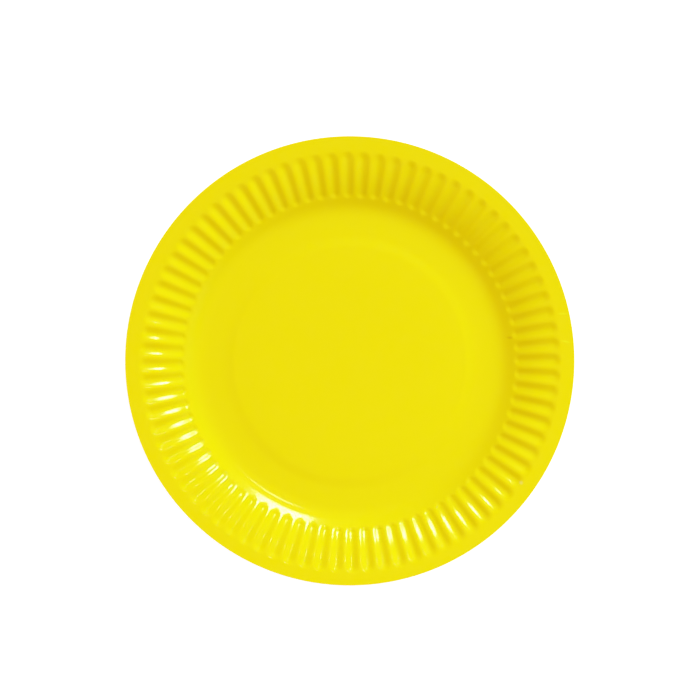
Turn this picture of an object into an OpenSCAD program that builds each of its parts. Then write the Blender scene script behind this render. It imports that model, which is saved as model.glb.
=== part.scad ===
// Round pressed paperboard plate: one sheet of board with a slightly raised centre disc, a flat ring that it
// stands on, a sloping wall pressed into flutes, and a plain rim.
// The origin is at the middle of the trimmed edge, on the surface that the plate stands on. +Z is up.

/* [Board] */
// Diameter of the trimmed edge
plate_d = 230; // [190:1:320]
// Thickness of the board
board_t = 0.45; // [0.3:0.05:0.7]
// Distance between the middle of the pressed form and the middle of the trimmed edge
press_offset = 0.9; // [0:0.1:2.5]

/* [Section, widths along the radius] */
// Width of the plain rim outside the wall
rim_w = 5.5; // [4:0.1:12]
// Height that the rim gains from the wall to the trimmed edge
rim_rise = 0.4; // [0:0.05:1.5]
// Width of the wall, from the rim in to the ring that the plate stands on
wall_w = 36.1; // [34:0.1:48]
// Height of the top of the wall above the ring that the plate stands on
wall_h = 12.1; // [8:0.5:24]
// Width of the hollow curve at the foot of the wall
foot_curve_w = 9.3; // [4:0.1:12]
// Width of the full curve from the steep part of the wall to the rim
shoulder_w = 22.9; // [18:0.1:26]
// Slope of the wall where it meets the rim, as a share of its steepest slope
shoulder_end_slope = 0.1; // [0:0.05:0.5]
// Width of the flat ring that the plate stands on
base_ring_w = 8.1; // [3:0.1:10]
// Width of the step between that ring and the centre disc
step_w = 6; // [2:0.1:12]
// Height of the centre disc above the ring
disc_rise = 0.75; // [0.1:0.05:1.2]

/* [Flutes] */
// Number of flutes around the wall
flute_count = 80; // [40:1:84]
// Depth of a groove below the ridges beside it, at its inner end
flute_inner_depth = 0.85; // [0.2:0.05:1]
// Depth of a groove below the ridges beside it, at its outer end
flute_outer_depth = 1.45; // [0.2:0.05:1.8]
// Plain strip between the curve at the foot and the inner ends of the grooves
flute_inner_gap = 1.5; // [0.5:0.1:4]
// Plain strip between the outer ends of the grooves and the rim
flute_outer_gap = 1; // [0.5:0.1:4]
// Length over which the inner end of a groove runs out
flute_inner_end = 2.8; // [2:0.1:5]
// Length over which the outer end of a groove runs out
flute_outer_end = 4.2; // [2:0.1:6]
// Length by which the flanks of a groove stop short of its middle at either end, which makes the ends round
flute_end_round = 1; // [0:0.1:2]
// Sharpness of the grooves: 1 makes them as wide as the ridges, and more makes them narrower
groove_sharpness = 1; // [1:0.1:2]
// Direction of the first groove from +X, in degrees
flute_turn = 0.7; // [0:0.1:4.5]

/* [Hidden] */

// Radii of the section, from the trimmed edge inwards. All but the edge's are about the middle of the press
edge_r = plate_d / 2;
rim_r = edge_r - rim_w;
flute_out_r = rim_r - flute_outer_gap;
foot_r = rim_r - wall_w;
flute_in_r = foot_r + foot_curve_w + flute_inner_gap;
step_r = foot_r - base_ring_w;
disc_r = step_r - step_w;

// Radii between which the grooves have their full depth
full_in_r = flute_in_r + flute_inner_end;
full_out_r = flute_out_r - flute_outer_end;

// Slope of the steep part of the wall, between the two curves, as height over width
wall_slope = wall_h / (wall_w - foot_curve_w * 2 / 3 - shoulder_w * (1 - shoulder_end_slope) / 2);

// How many bands of facets each part of the section has, and how many facets go around
step_bands = 3;
foot_bands = 3;
groove_bands = 3;
facets_per_flute = 6;
edge_facets_per_flute = 2;

// The foot curve bends most at its outer end. A power under 1 sets its bands closer together there
foot_band_spread = 2 / 3;

// Half the span over which the slope of the pressed face is measured
probe = 0.01;

// Smooth climb from 0 to 1 as t goes from 0 to 1
function ease(t) = let (u = max(0, min(1, t))) u * u * (3 - 2 * u);

// Height that the wall still has to gain over the last width x of its shoulder, where the slope falls evenly
function shoulder_drop(x) =
    wall_slope * (shoulder_end_slope * x + (1 - shoulder_end_slope) * x ^ 2 / (2 * shoulder_w));

// Height that the wall has gained at x outwards from its foot, where the slope grows with the square of x
function wall_rise(x) =
    x < foot_curve_w ? wall_slope * x ^ 3 / (3 * foot_curve_w ^ 2) :
    x < wall_w - shoulder_w ? wall_slope * (x - foot_curve_w * 2 / 3) :
    wall_h - shoulder_drop(wall_w - x);

// Height of the section at radius r, above the flat ring
function section(r) =
    r < step_r ? disc_rise * (1 - ease((r - disc_r) / step_w)) :
    r < foot_r ? 0 :
    r < rim_r ? wall_rise(r - foot_r) :
    wall_h + rim_rise * (r - rim_r) / rim_w;

// Depth of the grooves at radius r and angle a. It grows outwards and eases out at both ends, which are round
function groove(r, a) =
    let (
        along = (r - flute_in_r) / (flute_out_r - flute_in_r),
        depth = flute_inner_depth + (flute_outer_depth - flute_inner_depth) * along,
        across = ((1 + cos(flute_count * (a - flute_turn))) / 2) ^ groove_sharpness,
        short = flute_end_round * (1 - across)
    )
    depth
    * across
    * ease((r - flute_in_r - short) / flute_inner_end)
    * ease((flute_out_r - short - r) / flute_outer_end);

// Point of the upper face at radius r and angle a
function upper_point(r, a) =
    [r * cos(a), r * sin(a) - press_offset, board_t + section(r) - groove(r, a)];

// Direction square to the upper face there, from its slopes along the radius and around
function upper_normal(r, a) =
    let (
        turn = asin(probe / r),
        outwards = upper_point(r + probe, a) - upper_point(r - probe, a),
        around = upper_point(r, a + turn) - upper_point(r, a - turn),
        n = cross(outwards, around)
    )
    n / norm(n);

// Rings of points from the centre disc to the trimmed edge, each with its radius and its number of points
rings = [
    for (i = [0 : step_bands])
        [disc_r + step_w * i / step_bands, flute_count],
    for (i = [0 : foot_bands])
        [foot_r + foot_curve_w * (i / foot_bands) ^ foot_band_spread, flute_count],
    [flute_in_r, flute_count],
    for (i = [0 : groove_bands])
        [full_in_r + (full_out_r - full_in_r) * i / groove_bands, flute_count * facets_per_flute],
    [flute_out_r, flute_count],
    [rim_r, flute_count],
    [edge_r, flute_count * edge_facets_per_flute]
];
last_ring = len(rings) - 1;

// Index of the first point of ring k
function ring_start(k) = k == 0 ? 0 : ring_start(k - 1) + rings[k - 1][1];
face_points = ring_start(last_ring) + rings[last_ring][1];

// Point of ring k at angle a, at a depth into the board. The last ring is the trimmed edge, about the origin
function ring_point(k, a, depth) =
    k == last_ring
        ? [edge_r * cos(a), edge_r * sin(a), board_t + wall_h + rim_rise - depth]
        : upper_point(rings[k][0], a) - depth * upper_normal(rings[k][0], a);

// All points of one face of the board. Each ring starts on the ridge after the first groove
function face_of_board(depth) = [
    for (k = [0 : last_ring])
        let (n = rings[k][1])
        for (i = [0 : n - 1])
            ring_point(k, flute_turn + 180 / flute_count + 360 * i / n, depth)
];

// First point of the other ring that point i of a ring of few points is joined to. Where both rings have as
// many points, the triangles on one flank of a flute mirror those on its other flank
function fan_start(i, few, ratio) =
    let (per_flute = few / flute_count)
    ratio > 1
        ? i * ratio - floor(ratio / 2)
        : i - ((i + per_flute - 1) % per_flute < per_flute / 2 ? 0 : 1);

// Triangles from a ring of few points to one of ratio times as many: a fan at each of the few, then a filler
function fans(few_start, few, many_start, ratio) = [
    for (i = [0 : few - 1])
        let (
            many = few * ratio,
            apex = few_start + i,
            next_apex = few_start + (i + 1) % few,
            first = many + fan_start(i, few, ratio),
            last = many + fan_start(i + 1, few, ratio)
        )
        each [
            for (j = [first : 1 : last - 1])
                [apex, many_start + j % many, many_start + (j + 1) % many],
            [apex, many_start + last % many, next_apex]
        ]
];

function flipped(triangles) = [for (t = triangles) [t[0], t[2], t[1]]];

// Triangles between ring k and the next one out, anticlockwise from above
function band(k) =
    let (
        inner = rings[k][1],
        outer = rings[k + 1][1]
    )
    outer >= inner
        ? fans(ring_start(k), inner, ring_start(k + 1), outer / inner)
        : flipped(fans(ring_start(k + 1), outer, ring_start(k), inner / outer));

bands = [for (k = [0 : last_ring - 1]) each band(k)];

// The cut around the trimmed edge, from the upper face down to the under face
function cut_edge() =
    let (
        n = rings[last_ring][1],
        upper = ring_start(last_ring),
        under = upper + face_points
    )
    [for (i = [0 : n - 1]) [upper + i, upper + (i + 1) % n, under + (i + 1) % n, under + i]];

// The pressed board
module plate() {
    color("#efe100")
        polyhedron(
            points = concat(face_of_board(0), face_of_board(board_t)),
            faces = concat(
                [[for (i = [flute_count - 1 : -1 : 0]) i]],
                flipped(bands),
                cut_edge(),
                [for (t = bands) [for (i = t) i + face_points]],
                [[for (i = [0 : flute_count - 1]) i + face_points]]
            ),
            convexity = 8
        );
}

plate();
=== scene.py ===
"""Looks of a pressed, fluted paper plate: a yellow coated upper face, a bare under face and a cut edge."""

import math

import bpy
import numpy as np
from bpy.props import FloatProperty, FloatVectorProperty, IntProperty, PointerProperty
from bpy.types import Operator, Panel, PropertyGroup
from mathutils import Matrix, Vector


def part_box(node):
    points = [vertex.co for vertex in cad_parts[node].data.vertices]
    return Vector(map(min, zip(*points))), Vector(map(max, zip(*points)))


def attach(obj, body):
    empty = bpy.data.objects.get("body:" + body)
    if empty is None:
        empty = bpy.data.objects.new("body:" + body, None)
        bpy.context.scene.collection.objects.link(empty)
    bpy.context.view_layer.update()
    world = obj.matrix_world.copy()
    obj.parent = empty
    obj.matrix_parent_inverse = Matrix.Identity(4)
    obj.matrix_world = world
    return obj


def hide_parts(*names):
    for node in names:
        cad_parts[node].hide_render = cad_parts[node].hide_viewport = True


bl_info = {
    "name": "Pressed Paper Plate",
    "version": (1, 0, 0),
    "blender": (4, 5, 0),
    "location": "3D View > Sidebar > Paper Plate",
    "description": "Presses a fluted paper plate around its fixed frame and sets a plain stage for it",
    "category": "Add Mesh",
}

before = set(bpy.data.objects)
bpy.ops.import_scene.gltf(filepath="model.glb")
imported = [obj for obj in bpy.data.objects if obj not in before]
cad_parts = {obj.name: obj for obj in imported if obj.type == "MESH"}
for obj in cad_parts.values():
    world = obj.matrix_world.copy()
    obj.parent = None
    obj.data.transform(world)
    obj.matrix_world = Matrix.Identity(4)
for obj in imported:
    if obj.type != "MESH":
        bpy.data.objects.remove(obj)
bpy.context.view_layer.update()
PLATE_LOW, PLATE_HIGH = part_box("plate")

MM = 0.001
SPREAD_SEED = 80
SHARP_ANGLE = math.radians(40)


class PlateSection(PropertyGroup):
    """Widths and heights of the pressed section, from the trimmed edge inwards."""

    diameter: FloatProperty(
        name="Diameter",
        description="Diameter of the trimmed edge",
        default=PLATE_HIGH.x - PLATE_LOW.x,
        unit="LENGTH",
    )
    height: FloatProperty(
        name="Height",
        description="Height of the rim's upper face above the surface that the plate stands on",
        default=PLATE_HIGH.z - PLATE_LOW.z,
        unit="LENGTH",
    )
    board: FloatProperty(
        name="Board",
        description="Thickness of the board",
        default=0.45 * MM,
        unit="LENGTH",
    )
    press_offset: FloatProperty(
        name="Press offset",
        description="Distance between the middle of the pressed form and the middle of the trimmed edge",
        default=0.9 * MM,
        unit="LENGTH",
    )
    rim: FloatProperty(
        name="Rim",
        description="Width of the plain rim outside the wall",
        default=5.5 * MM,
        unit="LENGTH",
    )
    rim_rise: FloatProperty(
        name="Rim rise",
        description="Height that the rim gains from the wall to the trimmed edge",
        default=0.4 * MM,
        unit="LENGTH",
    )
    wall: FloatProperty(
        name="Wall",
        description="Width of the wall, from the rim in to the ring that the plate stands on",
        default=36.1 * MM,
        unit="LENGTH",
    )
    foot_curve: FloatProperty(
        name="Foot curve",
        description="Width of the hollow curve at the foot of the wall",
        default=9.0 * MM,
        unit="LENGTH",
    )
    foot_power: FloatProperty(
        name="Foot power",
        description="Power of the distance with which the slope grows over the foot curve",
        default=1.6,
    )
    shoulder: FloatProperty(
        name="Shoulder",
        description="Width of the full curve from the steep part of the wall to the rim",
        default=23.0 * MM,
        unit="LENGTH",
    )
    shoulder_end_slope: FloatProperty(
        name="Shoulder end slope",
        description="Slope of the wall where it meets the rim, as a share of its steepest slope",
        default=0.1,
        subtype="FACTOR",
    )
    base_ring: FloatProperty(
        name="Base ring",
        description="Width of the flat ring that the plate stands on",
        default=7.6 * MM,
        unit="LENGTH",
    )
    step: FloatProperty(
        name="Step",
        description="Width of the step between the base ring and the centre disc",
        default=7.0 * MM,
        unit="LENGTH",
    )
    disc_rise: FloatProperty(
        name="Disc rise",
        description="Height of the centre disc above the base ring",
        default=0.7 * MM,
        unit="LENGTH",
    )


class PlateFlutes(PropertyGroup):
    """Form of the grooves that are pressed into the wall."""

    count: IntProperty(
        name="Count",
        description="Number of flutes around the wall",
        default=80,
        min=3,
    )
    inner_depth: FloatProperty(
        name="Inner depth",
        description="Depth of a groove below the ridges beside it, at its inner end",
        default=0.85 * MM,
        unit="LENGTH",
    )
    outer_depth: FloatProperty(
        name="Outer depth",
        description="Depth of a groove below the ridges beside it, at its outer end",
        default=1.5 * MM,
        unit="LENGTH",
    )
    sharpness: FloatProperty(
        name="Sharpness",
        description="1 makes the grooves as wide as the ridges, and more makes them narrower",
        default=1.0,
    )
    inner_gap: FloatProperty(
        name="Inner gap",
        description="Plain strip between the foot curve and the inner ends of the grooves",
        default=2.3 * MM,
        unit="LENGTH",
    )
    outer_gap: FloatProperty(
        name="Outer gap",
        description="Plain strip between the outer ends of the grooves and the rim",
        default=1.6 * MM,
        unit="LENGTH",
    )
    inner_end: FloatProperty(
        name="Inner end",
        description="Length over which the inner end of a groove runs out",
        default=2.3 * MM,
        unit="LENGTH",
    )
    outer_end: FloatProperty(
        name="Outer end",
        description="Length of the lip at the outer end of a groove",
        default=3.0 * MM,
        unit="LENGTH",
    )
    outer_lip: FloatProperty(
        name="Outer lip",
        description="Share of the depth that a groove loses over the lip. It loses the rest over the fade",
        default=0.72,
        subtype="FACTOR",
    )
    outer_fade: FloatProperty(
        name="Outer fade",
        description="Length over which a groove grows shallower towards its outer end",
        default=8.5 * MM,
        unit="LENGTH",
    )
    end_round: FloatProperty(
        name="End round",
        description="Length by which the flanks of a groove stop short of its middle at either end",
        default=0.6 * MM,
        unit="LENGTH",
    )
    end_straight: FloatProperty(
        name="End straightness",
        description="Share of a groove's run-out that is a straight ramp. The rest is a smooth one",
        default=0.9,
        subtype="FACTOR",
    )
    turn: FloatProperty(
        name="Turn",
        description="Direction of the first groove from +X",
        default=math.radians(0.7),
        subtype="ANGLE",
    )
    depth_spread: FloatProperty(
        name="Depth spread",
        description="Share by which the depth differs from groove to groove",
        default=0.03,
        subtype="FACTOR",
    )
    end_spread: FloatProperty(
        name="End spread",
        description="Distance by which the ends of the grooves differ from groove to groove",
        default=0.12 * MM,
        unit="LENGTH",
    )


class PlateFinish(PropertyGroup):
    """Colours of the board's two faces and of its cut edge."""

    print_colour: FloatVectorProperty(
        name="Print",
        description="Colour of the coated upper face",
        default=(0.91, 0.783, 0.0),
        subtype="COLOR",
    )
    deep_colour: FloatVectorProperty(
        name="Deep print",
        description="Colour of the upper face where the ink lies thickest",
        default=(0.907, 0.779, 0.0),
        subtype="COLOR",
    )
    print_roughness: FloatProperty(
        name="Print roughness",
        description="Roughness of the coated upper face",
        default=0.12,
        subtype="FACTOR",
    )
    print_gloss: FloatProperty(
        name="Print gloss",
        description="Strength of the reflections on the coated upper face. 0.5 is that of plain plastic",
        default=0.4,
        subtype="FACTOR",
    )
    bare_colour: FloatVectorProperty(
        name="Bare board",
        description="Colour of the uncoated under face and of the cut edge",
        default=(0.76, 0.74, 0.68),
        subtype="COLOR",
    )
    fibre_colour: FloatVectorProperty(
        name="Fibres",
        description="Colour of the darker fibres in the bare board",
        default=(0.62, 0.59, 0.52),
        subtype="COLOR",
    )


class PlateMarks(PropertyGroup):
    """Small marks on the upper face: two creases from use, lightened along their length by a painted
    highlight, a darker spot of painted shade near the foot of the wall and a pale spot of painted highlight
    near the rim.
    """

    crease_places: FloatVectorProperty(
        name="Crease places",
        description="X and Y of the middles of the two creases on the rim",
        default=(108.9 * MM, 24.15 * MM, 110.4 * MM, 9.9 * MM),
        size=4,
        unit="LENGTH",
    )
    crease_angles: FloatVectorProperty(
        name="Crease angles",
        description="Directions of the two creases from +X",
        default=(math.radians(0), math.radians(-13)),
        size=2,
        subtype="NONE",
        unit="ROTATION",
    )
    crease_size: FloatVectorProperty(
        name="Crease size",
        description="Half the length and half the width of a crease",
        default=(3.1 * MM, 0.7 * MM),
        size=2,
        unit="LENGTH",
    )
    crease_height: FloatProperty(
        name="Crease height",
        description="Height of a crease above the board around it",
        default=0.02 * MM,
        unit="LENGTH",
    )
    # Painted highlight: the lighter print along each crease stands in for the light that the fold catches.
    crease_highlight_colour: FloatVectorProperty(
        name="Crease",
        description="Colour of the print that a crease has stretched",
        default=(0.93, 0.87, 0.01),
        subtype="COLOR",
    )
    speck_place: FloatVectorProperty(
        name="Speck place",
        description="X and Y of the dark speck at the foot of the wall",
        default=(82.4 * MM, 11.9 * MM),
        size=2,
        unit="LENGTH",
    )
    speck_size: FloatVectorProperty(
        name="Speck size",
        description="Half the length and half the width of the speck",
        default=(1.9 * MM, 0.9 * MM),
        size=2,
        unit="LENGTH",
    )
    # Painted shade: this spot's darker print is shade painted into the colour.
    speck_shade_colour: FloatVectorProperty(
        name="Speck",
        description="Colour of the speck",
        default=(0.82, 0.64, 0.0),
        subtype="COLOR",
    )
    # Painted highlight: a pale spot near the rim, a small glint painted into the print.
    glint_place: FloatVectorProperty(
        name="Chip place",
        description="X and Y of the small chip in the print near the rim",
        default=(87.75 * MM, -62.4 * MM),
        size=2,
        unit="LENGTH",
    )
    glint_size: FloatVectorProperty(
        name="Chip size",
        description="Half the length and half the width of the chip",
        default=(1.25 * MM, 1.25 * MM),
        size=2,
        unit="LENGTH",
    )
    # Painted highlight: the pale, whitish colour of the glint spot.
    glint_colour: FloatVectorProperty(
        name="Chip",
        description="Colour of the thin print in the chip",
        default=(0.93, 0.83, 0.12),
        subtype="COLOR",
    )


class PlateStage(PropertyGroup):
    """Lights, floor and camera."""

    key_azimuth: FloatProperty(
        name="Key azimuth",
        description="Direction of the key light from +X",
        default=math.radians(65.5),
        subtype="ANGLE",
    )
    key_elevation: FloatProperty(
        name="Key elevation",
        description="Height of the key light above the floor, as an angle",
        default=math.radians(33.3),
        subtype="ANGLE",
    )
    key_size: FloatVectorProperty(
        name="Key size",
        description="Level and upright width of the key light",
        default=(2.45, 1.26),
        size=2,
        unit="LENGTH",
    )
    key_share: FloatProperty(
        name="Key share",
        description="Share of the light on a level face that comes from the key light",
        default=0.195,
        subtype="FACTOR",
    )
    strip_azimuth: FloatProperty(
        name="Strip azimuth",
        description="Direction of the strip light from +X",
        default=math.radians(60),
        subtype="ANGLE",
    )
    strip_elevation: FloatProperty(
        name="Strip elevation",
        description="Height of the strip light above the floor, as an angle",
        default=math.radians(62.5),
        subtype="ANGLE",
    )
    strip_size: FloatVectorProperty(
        name="Strip size",
        description="Level and upright width of the strip light",
        default=(1.1, 0.45),
        size=2,
        unit="LENGTH",
    )
    strip_share: FloatProperty(
        name="Strip share",
        description="Share of the light on a level face that comes from the strip light",
        default=0.03,
        subtype="FACTOR",
    )
    light_distance: FloatProperty(
        name="Light distance",
        description="Distance from the plate to the key light and the strip light",
        default=8.0,
        unit="LENGTH",
    )
    fill_azimuth: FloatProperty(
        name="Fill azimuth",
        description="Direction of the fill light from +X",
        default=math.radians(-15),
        subtype="ANGLE",
    )
    fill_elevation: FloatProperty(
        name="Fill elevation",
        description="Height of the fill light above the floor, as an angle",
        default=math.radians(26),
        subtype="ANGLE",
    )
    fill_size: FloatVectorProperty(
        name="Fill size",
        description="Level and upright width of the fill light",
        default=(0.35, 0.35),
        size=2,
        unit="LENGTH",
    )
    fill_share: FloatProperty(
        name="Fill share",
        description="Share of the light on a level face that comes from the fill light",
        default=0.078,
        subtype="FACTOR",
    )
    fill_distance: FloatProperty(
        name="Fill distance",
        description="Distance from the plate to the fill light, near enough to fade across the plate",
        default=0.65,
        unit="LENGTH",
    )
    light_colour: FloatVectorProperty(
        name="Light colour",
        description="Colour of the lights. The surroundings give the rest of a white light",
        default=(0.5, 1.0, 1.0),
        subtype="COLOR",
    )
    sky_lean: FloatVectorProperty(
        name="Sky lean",
        description="How much the surroundings' green and blue light grows towards +X, +Y and +Z",
        default=(0.148, 0.225, 0.627),
        size=3,
    )
    sky_lean_red: FloatVectorProperty(
        name="Sky lean, red",
        description="How much the surroundings' red light grows towards +X, +Y and +Z",
        default=(0.07, 0.118, 0.328),
        size=3,
    )
    floor_colour: FloatVectorProperty(
        name="Floor",
        description="Colour of the floor",
        default=(0.8, 0.8, 0.8),
        subtype="COLOR",
    )
    floor_glow: FloatProperty(
        name="Floor glow",
        description="Light added to the floor as the camera sees it, so that it shows white",
        default=0.7,
    )
    camera_distance: FloatProperty(
        name="Camera distance",
        description="Height of the camera above the floor",
        default=1.4,
        unit="LENGTH",
    )
    view_width: FloatProperty(
        name="View width",
        description="Width of the view at the height of the rim",
        default=0.3582,
        unit="LENGTH",
    )
    view_centre: FloatVectorProperty(
        name="View centre",
        description="Point on the floor that the camera looks straight down at",
        default=(0.0001, 0.00553),
        size=2,
        unit="LENGTH",
    )


def ease(t):
    """Smooth climb from 0 to 1 as t goes from 0 to 1: three t squared less two t cubed."""
    t = np.clip(t, 0.0, 1.0)
    return t * t * (3.0 - 2.0 * t)


class PressedForm:
    """The upper face of the board as a function of the radius r and the angle a about the pressed middle."""

    def __init__(self, section, flutes):
        self.section = section
        self.flutes = flutes
        self.edge_r = section.diameter / 2
        self.rim_r = self.edge_r - section.rim
        self.foot_r = self.rim_r - section.wall
        self.straight_r = self.foot_r + section.foot_curve
        self.shoulder_r = self.rim_r - section.shoulder
        self.step_r = self.foot_r - section.base_ring
        self.disc_r = self.step_r - section.step
        self.flute_in_r = self.straight_r + flutes.inner_gap
        self.flute_out_r = self.rim_r - flutes.outer_gap
        self.corner = section.board / 4
        self.wall_h = section.height - section.board - section.rim_rise
        fall = 1 - section.shoulder_end_slope
        self.foot_loss = section.foot_curve * section.foot_power / (section.foot_power + 1)
        self.wall_slope = self.wall_h / (section.wall - self.foot_loss - section.shoulder * fall / 2)
        random = np.random.default_rng(SPREAD_SEED)
        self.depth_of = 1 + flutes.depth_spread * random.uniform(-1, 1, flutes.count)
        self.inner_shift = flutes.end_spread * random.uniform(-1, 1, flutes.count)
        self.outer_shift = flutes.end_spread * random.uniform(-1, 1, flutes.count)

    def wall_rise(self, x):
        """Height gained x outwards from the wall's foot.

        The slope grows with a power of x over the foot curve, stays the same over the straight part, and
        falls evenly over the shoulder.
        """
        section = self.section
        power = section.foot_power
        foot = x ** (power + 1) / ((power + 1) * section.foot_curve**power)
        straight = x - self.foot_loss
        left = section.wall - x
        end = section.shoulder_end_slope
        shoulder = end * left + (1 - end) * left**2 / (2 * section.shoulder)
        rise = self.wall_slope * np.where(x < section.foot_curve, foot, straight)
        return np.where(left < section.shoulder, self.wall_h - self.wall_slope * shoulder, rise)

    def profile(self, r):
        """Height of the section above the base ring: disc, step, ring, wall and rim, from the middle out."""
        section = self.section
        step = section.disc_rise * (1 - ease((r - self.disc_r) / section.step))
        wall = self.wall_rise(np.clip(r - self.foot_r, 0.0, section.wall))
        rim = section.rim_rise * np.maximum((r - self.rim_r) / section.rim, 0.0)
        return step + wall + rim

    def run_out(self, t):
        """Climb from 0 to 1 at the end of a groove: partly a straight ramp and partly a smooth one."""
        straight = self.flutes.end_straight
        return straight * np.clip(t, 0.0, 1.0) + (1 - straight) * ease(t)

    def groove(self, r, a):
        """Depth of a groove: a raised cosine across the flute, deeper outwards, which runs out at both ends.

        The ends are round: the flanks stop short of the middle by the end round times one less the raised
        cosine. Towards the outer end the groove first grows shallower over the fade, then stops at the lip.
        """
        flutes = self.flutes
        phase = (a - flutes.turn) * flutes.count
        which = np.round(phase / math.tau).astype(int) % flutes.count
        across = ((1 + np.cos(phase)) / 2) ** flutes.sharpness
        short = flutes.end_round * (1 - across)
        inner = self.run_out((r - self.flute_in_r - self.inner_shift[which] - short) / flutes.inner_end)
        left = self.flute_out_r + self.outer_shift[which] - short - r
        lip = flutes.outer_lip
        outer = lip * self.run_out(left / flutes.outer_end) + (1 - lip) * ease(left / flutes.outer_fade)
        along = (r - self.flute_in_r) / (self.flute_out_r - self.flute_in_r)
        depth = flutes.inner_depth + (flutes.outer_depth - flutes.inner_depth) * along
        return depth * self.depth_of[which] * across * inner * outer

    def point(self, r, a):
        """Place on the upper face. The offset of the pressed form dies out across the flat rim."""
        offset = self.section.press_offset * np.clip((self.edge_r - r) / self.section.rim, 0.0, 1.0)
        z = self.section.board + self.profile(r) - self.groove(r, a)
        return np.stack([r * np.cos(a), r * np.sin(a) - offset, z], axis=-1)

    def normal(self, r, a):
        """Direction square to the upper face: the cross product of its slopes outwards and around."""
        span = 0.01 * MM
        turn = span / np.maximum(r, MM)
        outwards = self.point(r + span, a) - self.point(r - span, a)
        around = self.point(r, a + turn) - self.point(r, a - turn)
        n = np.cross(outwards, around)
        return n / np.linalg.norm(n, axis=-1, keepdims=True)

    def radii(self):
        """Radii of the rows of points, close together where the form bends.

        Each stretch has the radius that it starts at, the one that it ends at and its number of rows.
        """
        flutes = self.flutes
        flat_r = 0.4 * self.disc_r
        full_in = self.flute_in_r + flutes.inner_end + flutes.end_round
        fade_r = self.flute_out_r - flutes.outer_fade - flutes.end_round
        lip_r = self.flute_out_r - flutes.outer_end - flutes.end_round
        edge_in = self.edge_r - 2 * self.section.board
        edge_out = self.edge_r - self.corner
        stretches = (
            (flat_r, self.disc_r, 2),
            (self.disc_r, self.step_r, 6),
            (self.step_r, self.foot_r, 1),
            (self.foot_r, self.flute_in_r, 8),
            (self.flute_in_r, full_in, 10),
            (full_in, fade_r, 5),
            (fade_r, lip_r, 4),
            (lip_r, self.rim_r, 7),
            (self.rim_r, edge_in, 2),
            (edge_in, edge_out, 3),
        )
        rows = [np.linspace(lo, hi, n, endpoint=False) for lo, hi, n in stretches]
        return np.concatenate([*rows, [edge_out]])


def mesh_from_rings(name, rings, first_pole, last_pole):
    """A closed mesh through rings of points, each as long as the next, with a point at either end."""
    count, around = rings.shape[:2]
    points = np.concatenate([[first_pole], rings.reshape(-1, 3), [last_pole]])
    at = 1 + np.arange(count * around).reshape(count, around)
    beside = np.roll(at, -1, axis=1)
    quads = np.stack([at[:-1], at[1:], beside[1:], beside[:-1]], axis=-1).reshape(-1, 4)
    start = np.stack([np.zeros(around, int), at[0], beside[0]], axis=-1)
    end = np.stack([at[-1], np.full(around, len(points) - 1), beside[-1]], axis=-1)
    corners = np.concatenate([start.ravel(), quads.ravel(), end.ravel()])
    sides = np.concatenate([np.full(around, 3), np.full(len(quads), 4), np.full(around, 3)])
    mesh = bpy.data.meshes.new(name)
    mesh.vertices.add(len(points))
    mesh.vertices.foreach_set("co", points.astype(np.float32).ravel())
    mesh.loops.add(len(corners))
    mesh.loops.foreach_set("vertex_index", corners.astype(np.int32))
    mesh.polygons.add(len(sides))
    mesh.polygons.foreach_set("loop_start", (np.cumsum(sides) - sides).astype(np.int32))
    mesh.polygons.foreach_set("loop_total", sides.astype(np.int32))
    mesh.polygons.foreach_set("use_smooth", np.ones(len(sides), bool))
    mesh.update(calc_edges=True)
    mesh.validate()
    return mesh


def pressed_board_mesh(form, steps_per_flute=12):
    """The board: upper face from the middle out, round the cut edge, and under face back to the middle.

    The two corners of the cut edge are rounded over a quarter of the thickness, each in two flat steps.
    """
    around = form.flutes.count * steps_per_flute
    a = np.arange(around) * math.tau / around + form.flutes.turn
    r, a = np.meshgrid(form.radii(), a, indexing="ij")
    board = form.section.board
    upper = form.point(r, a)
    under = upper - board * form.normal(r, a)
    corner = form.corner
    between = 0.3 * corner
    inset = np.array([between, 0.0, 0.0, between])
    drop = np.array([between, corner, board - corner, board - between])
    edge_a = a[:4]
    edge_r = (form.edge_r - inset)[:, None]
    edge_z = (form.section.height - drop)[:, None] * np.ones_like(edge_a)
    edge = np.stack([edge_r * np.cos(edge_a), edge_r * np.sin(edge_a), edge_z], axis=-1)
    middle = form.point(np.zeros(1), np.zeros(1))[0]
    rings = np.concatenate([upper, edge, under[::-1]])
    mesh = mesh_from_rings("plate_board", rings, middle, middle - [0, 0, board])
    rows = len(upper)
    cut_from = around * (rows + 2)
    cut_to = cut_from + around
    face = np.arange(len(mesh.polygons))
    material = np.where(face < cut_from, 0, np.where(face < cut_to, 1, 2))
    mesh.polygons.foreach_set("material_index", material.astype(np.int32))
    mesh.set_sharp_from_angle(angle=SHARP_ANGLE)
    return mesh


def add_node(tree, kind, inputs=None, **settings):
    """A node of a kind, with its settings, and with its inputs set to values or linked from sockets."""
    node = tree.nodes.new(kind)
    for name, value in settings.items():
        setattr(node, name, value)
    for name, value in (inputs or {}).items():
        if isinstance(value, bpy.types.NodeSocket):
            tree.links.new(value, node.inputs[name])
        else:
            node.inputs[name].default_value = value
    return node


def new_material(name):
    """An empty material with a Principled shader on its output."""
    material = bpy.data.materials.new(name)
    material.use_nodes = True
    tree = material.node_tree
    tree.nodes.clear()
    shader = add_node(tree, "ShaderNodeBsdfPrincipled")
    add_node(tree, "ShaderNodeOutputMaterial", {"Surface": shader.outputs["BSDF"]})
    return material, tree, shader


def noise(tree, vector, scale, detail=3.0):
    """Noise from 0 to 1 with so many features in a metre."""
    node = add_node(
        tree,
        "ShaderNodeTexNoise",
        {"Vector": vector, "Scale": scale, "Detail": detail},
    )
    return node.outputs["Fac"]


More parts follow.
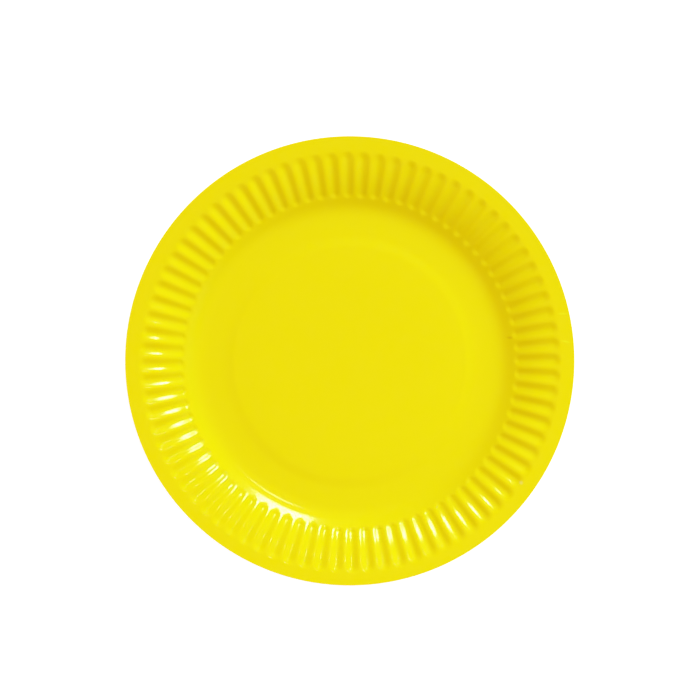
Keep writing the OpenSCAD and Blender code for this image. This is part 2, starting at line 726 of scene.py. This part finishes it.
def blend(tree, factor, low, high):
    """Colour between low and high by a factor."""
    node = add_node(tree, "ShaderNodeMix", data_type="RGBA")
    tree.links.new(factor, node.inputs["Factor"])
    for socket, value in (("A_Color", low), ("B_Color", high)):
        target = next(s for s in node.inputs if s.identifier == socket)
        if isinstance(value, bpy.types.NodeSocket):
            tree.links.new(value, target)
        else:
            target.default_value = (*value, 1.0)
    return next(s for s in node.outputs if s.identifier == "Result_Color")


def spread(tree, value, low, high, to_low=0.0, to_high=1.0):
    """Value moved from one range to another and kept inside it."""
    node = add_node(
        tree,
        "ShaderNodeMapRange",
        {"Value": value, "From Min": low, "From Max": high, "To Min": to_low, "To Max": to_high},
    )
    return node.outputs["Result"]


def mark(tree, place, at, half_size, angle=0.0):
    """1 in the core of an ellipse seen from above, fading evenly to 0 at its outline."""
    core = 0.2
    where = add_node(
        tree,
        "ShaderNodeMapping",
        {"Vector": place, "Location": (*at, 0.0), "Rotation": (0.0, 0.0, angle), "Scale": (*half_size, 1.0)},
        vector_type="TEXTURE",
    )
    away = add_node(tree, "ShaderNodeVectorMath", {0: where.outputs["Vector"]}, operation="LENGTH")
    return spread(tree, away.outputs["Value"], low=core, high=1.0, to_low=1.0, to_high=0.0)


def coated_face(finish, marks):
    """Glossy yellow print over board: faint differences of ink, the waviness of coated board, and marks with
    painted highlights and painted shade.
    """
    patches_a_metre = 45.0
    blotches_a_metre = 220.0
    waves_a_metre = 500.0
    wave_height = 0.006 * MM
    smoothest = finish.print_roughness - 0.02
    roughest = finish.print_roughness + 0.03
    material, tree, shader = new_material("coated_print")
    place = add_node(tree, "ShaderNodeTexCoord").outputs["Object"]
    ink = spread(tree, noise(tree, place, patches_a_metre), low=0.35, high=0.65)
    colour = blend(tree, ink, finish.print_colour, finish.deep_colour)
    creases = [
        mark(tree, place, marks.crease_places[i * 2 : i * 2 + 2], marks.crease_size, marks.crease_angles[i])
        for i in range(2)
    ]
    # The crease mask raises the folds' real bump below and also places their painted highlight.
    crease = add_node(tree, "ShaderNodeMath", {0: creases[0], 1: creases[1]}, operation="MAXIMUM").outputs[0]
    shade_speck = mark(tree, place, marks.speck_place, marks.speck_size)
    glint = mark(tree, place, marks.glint_place, marks.glint_size)
    # Painted light on the marks: a painted highlight along the creases, painted shade in the dark spot and a
    # painted highlight in the pale glint spot.
    colour = blend(tree, crease, colour, marks.crease_highlight_colour)
    colour = blend(tree, shade_speck, colour, marks.speck_shade_colour)
    colour = blend(tree, glint, colour, marks.glint_colour)
    tree.links.new(colour, shader.inputs["Base Color"])
    blotches = noise(tree, place, blotches_a_metre)
    roughness = spread(tree, blotches, low=0.3, high=0.7, to_low=smoothest, to_high=roughest)
    tree.links.new(roughness, shader.inputs["Roughness"])
    shader.inputs["Specular IOR Level"].default_value = finish.print_gloss
    waves = noise(tree, place, waves_a_metre, detail=2.0)
    wave = add_node(
        tree, "ShaderNodeBump", {"Strength": 1.0, "Distance": wave_height, "Height": waves}
    )
    fold = add_node(
        tree,
        "ShaderNodeBump",
        {
            "Strength": 1.0,
            "Distance": marks.crease_height,
            "Height": crease,
            "Normal": wave.outputs["Normal"],
        },
    )
    tree.links.new(fold.outputs["Normal"], shader.inputs["Normal"])
    return material


def bare_face(finish, name, length):
    """Bare board: fibres along X, so many times as long as they are wide, and a rough surface."""
    fibres_a_metre = 900.0
    fibre_height = 0.03 * MM
    bare_roughness = 0.85
    bare_gloss = 0.25
    material, tree, shader = new_material(name)
    place = add_node(tree, "ShaderNodeTexCoord").outputs["Object"]
    along = add_node(tree, "ShaderNodeMapping", {"Vector": place, "Scale": (1.0, length, length)})
    fibres = noise(tree, along.outputs["Vector"], fibres_a_metre, detail=6.0)
    dark = spread(tree, fibres, low=0.45, high=0.75)
    colour = blend(tree, dark, finish.bare_colour, finish.fibre_colour)
    tree.links.new(colour, shader.inputs["Base Color"])
    shader.inputs["Roughness"].default_value = bare_roughness
    shader.inputs["Specular IOR Level"].default_value = bare_gloss
    bump = add_node(
        tree, "ShaderNodeBump", {"Strength": 1.0, "Distance": fibre_height, "Height": fibres}
    )
    tree.links.new(bump.outputs["Normal"], shader.inputs["Normal"])
    return material


class PAPERPLATE_OT_press_board(Operator):
    """Press the board of the plate and give it its print, its bare under face and its cut edge"""

    bl_idname = "paperplate.press_board"
    bl_label = "Press the Board"

    def execute(self, context):
        scene = context.scene
        form = PressedForm(scene.plate_section, scene.plate_flutes)
        mesh = pressed_board_mesh(form)
        finish = scene.plate_finish
        mesh.materials.append(coated_face(finish, scene.plate_marks))
        mesh.materials.append(bare_face(finish, "cut_board", 1.0))
        mesh.materials.append(bare_face(finish, "bare_board", 3.0))
        board = bpy.data.objects.new("pressed_board", mesh)
        scene.collection.objects.link(board)
        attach(board, "root")
        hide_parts("plate")
        return {"FINISHED"}


def add_light(stage, kind, distance, height):
    """A soft light, key, strip or fill, whose power gives its share of the light on a level face."""
    name = f"{kind}_light"
    azimuth = getattr(stage, f"{kind}_azimuth")
    elevation = getattr(stage, f"{kind}_elevation")
    size = getattr(stage, f"{kind}_size")
    share = getattr(stage, f"{kind}_share")
    level = math.cos(elevation)
    towards = Vector((level * math.cos(azimuth), level * math.sin(azimuth), math.sin(elevation)))
    area = size[0] * size[1]
    solid_angle = area / distance**2
    radiance = share * math.pi / (solid_angle * towards.z)
    lamp = bpy.data.lights.new(name, "AREA")
    lamp.shape = "RECTANGLE"
    lamp.size, lamp.size_y = size
    lamp.color = stage.light_colour
    lamp.energy = radiance * math.pi * area
    light = bpy.data.objects.new(name, lamp)
    light.location = towards * distance + Vector((0, 0, height))
    light.rotation_mode = "QUATERNION"
    light.rotation_quaternion = towards.to_track_quat("Z", "Y")
    bpy.context.scene.collection.objects.link(light)
    return light


def add_lights(stage, height):
    """The key light gives a broad gleam on the wall, the strip light a thin one and the fill light none."""
    add_light(stage, "key", stage.light_distance, height)
    add_light(stage, "strip", stage.light_distance, height)
    fill = add_light(stage, "fill", stage.fill_distance, height)
    fill.visible_glossy = False


def sky_strength(tree, rest, lean):
    """Strength of one colour of the surroundings.

    It is the rest of a white light, times 1 plus the product of the direction and the lean, less the two
    thirds of the upright lean that a level face would gain.
    """
    direction = add_node(tree, "ShaderNodeTexCoord").outputs["Generated"]
    along = add_node(
        tree,
        "ShaderNodeVectorMath",
        {0: direction, 1: [rest * part for part in lean]},
        operation="DOT_PRODUCT",
    )
    total = add_node(
        tree,
        "ShaderNodeMath",
        {0: along.outputs["Value"], 1: rest * (1 - 2 / 3 * lean[2])},
        operation="ADD",
    )
    return total.outputs[0]


def add_surroundings(stage):
    """A world that gives what the lights leave of a white light, brighter overhead, and that shows white.

    Below the horizon it shines as the floor does, for a view from underneath. The gloss doesn't show it.
    """
    world = bpy.data.worlds.new("surroundings")
    bpy.context.scene.world = world
    world.use_nodes = True
    tree = world.node_tree
    tree.nodes.clear()
    share = stage.key_share + stage.strip_share + stage.fill_share
    rest = [1 - share * c for c in stage.light_colour]
    colour = add_node(
        tree,
        "ShaderNodeCombineColor",
        {
            "Red": sky_strength(tree, rest[0], stage.sky_lean_red),
            "Green": sky_strength(tree, rest[1], stage.sky_lean),
            "Blue": sky_strength(tree, rest[2], stage.sky_lean),
        },
    )
    above = add_node(tree, "ShaderNodeBackground", {"Color": colour.outputs["Color"], "Strength": 1.0})
    below = add_node(tree, "ShaderNodeBackground", {"Color": (*stage.floor_colour, 1.0), "Strength": 1.0})
    direction = add_node(tree, "ShaderNodeTexCoord").outputs["Generated"]
    upright = add_node(tree, "ShaderNodeSeparateXYZ", {"Vector": direction}).outputs["Z"]
    is_below = add_node(tree, "ShaderNodeMath", {0: upright, 1: 0.0}, operation="LESS_THAN")
    ambient = add_node(tree, "ShaderNodeMixShader", {"Fac": is_below.outputs[0]})
    tree.links.new(above.outputs[0], ambient.inputs[1])
    tree.links.new(below.outputs[0], ambient.inputs[2])
    white = add_node(tree, "ShaderNodeBackground", {"Color": (1.0, 1.0, 1.0, 1.0), "Strength": 1.0})
    rays = add_node(tree, "ShaderNodeLightPath")
    seen = add_node(tree, "ShaderNodeMixShader", {"Fac": rays.outputs["Is Camera Ray"]})
    tree.links.new(ambient.outputs[0], seen.inputs[1])
    tree.links.new(white.outputs[0], seen.inputs[2])
    add_node(tree, "ShaderNodeOutputWorld", {"Surface": seen.outputs[0]})
    world.cycles_visibility.glossy = False


def add_floor(stage):
    """A plain floor just under the plate. The camera and the plate's gloss see it brighter than it is."""
    half = 1.5
    gap = 0.1 * MM
    level = PLATE_LOW.z - gap
    corners = [(-half, -half, level), (half, -half, level), (half, half, level), (-half, half, level)]
    mesh = bpy.data.meshes.new("floor")
    mesh.from_pydata(corners, [], [(0, 1, 2, 3)])
    material = bpy.data.materials.new("floor")
    material.use_nodes = True
    tree = material.node_tree
    tree.nodes.clear()
    rays = add_node(tree, "ShaderNodeLightPath").outputs
    seen = add_node(
        tree,
        "ShaderNodeMath",
        {0: rays["Is Camera Ray"], 1: rays["Is Glossy Ray"]},
        operation="MAXIMUM",
    )
    seen = add_node(
        tree,
        "ShaderNodeMath",
        {0: seen.outputs[0], 1: rays["Is Transmission Ray"]},
        operation="MAXIMUM",
    )
    glow = add_node(
        tree, "ShaderNodeMath", {0: seen.outputs[0], 1: stage.floor_glow}, operation="MULTIPLY"
    )
    matt = add_node(
        tree, "ShaderNodeBsdfDiffuse", {"Color": (*stage.floor_colour, 1.0), "Roughness": 1.0}
    )
    light = add_node(
        tree, "ShaderNodeEmission", {"Color": (1.0, 1.0, 1.0, 1.0), "Strength": glow.outputs[0]}
    )
    both = add_node(tree, "ShaderNodeAddShader", {0: matt.outputs[0], 1: light.outputs[0]})
    add_node(tree, "ShaderNodeOutputMaterial", {"Surface": both.outputs[0]})
    mesh.materials.append(material)
    floor = bpy.data.objects.new("floor", mesh)
    bpy.context.scene.collection.objects.link(floor)


def add_camera(stage, height):
    """A camera that looks straight down, with a lens that gives the view's width at the rim."""
    data = bpy.data.cameras.new("camera")
    data.lens = data.sensor_width * (stage.camera_distance - height) / stage.view_width
    camera = bpy.data.objects.new("camera", data)
    camera.location = (*stage.view_centre, stage.camera_distance)
    bpy.context.scene.collection.objects.link(camera)
    bpy.context.scene.camera = camera


class PAPERPLATE_OT_set_stage(Operator):
    """Set the floor, the three lights, the surroundings and the camera"""

    bl_idname = "paperplate.set_stage"
    bl_label = "Set the Stage"

    def execute(self, context):
        stage = context.scene.plate_stage
        height = context.scene.plate_section.height
        add_floor(stage)
        add_lights(stage, height)
        add_surroundings(stage)
        add_camera(stage, height)
        context.scene.view_settings.view_transform = "Standard"
        return {"FINISHED"}


class PAPERPLATE_PT_sidebar(Panel):
    """Sizes and colours of the plate, and the buttons that make it"""

    bl_idname = "PAPERPLATE_PT_sidebar"
    bl_label = "Paper Plate"
    bl_space_type = "VIEW_3D"
    bl_region_type = "UI"
    bl_category = "Paper Plate"

    def draw(self, context):
        layout = self.layout
        for name in SETTINGS:
            box = layout.box()
            group = getattr(context.scene, name)
            for setting in group.__annotations__:
                box.prop(group, setting)
        for operator in OPERATORS:
            layout.operator(operator.bl_idname)


SETTINGS = {
    "plate_section": PlateSection,
    "plate_flutes": PlateFlutes,
    "plate_finish": PlateFinish,
    "plate_marks": PlateMarks,
    "plate_stage": PlateStage,
}
OPERATORS = (PAPERPLATE_OT_press_board, PAPERPLATE_OT_set_stage)
CLASSES = (*SETTINGS.values(), *OPERATORS, PAPERPLATE_PT_sidebar)


def register():
    for cls in CLASSES:
        bpy.utils.register_class(cls)
    for name, group in SETTINGS.items():
        setattr(bpy.types.Scene, name, PointerProperty(type=group))


def unregister():
    for name in SETTINGS:
        delattr(bpy.types.Scene, name)
    for cls in reversed(CLASSES):
        bpy.utils.unregister_class(cls)


def main():
    register()
    bpy.ops.paperplate.press_board()
    bpy.ops.paperplate.set_stage()


if __name__ == "__main__":
    main()
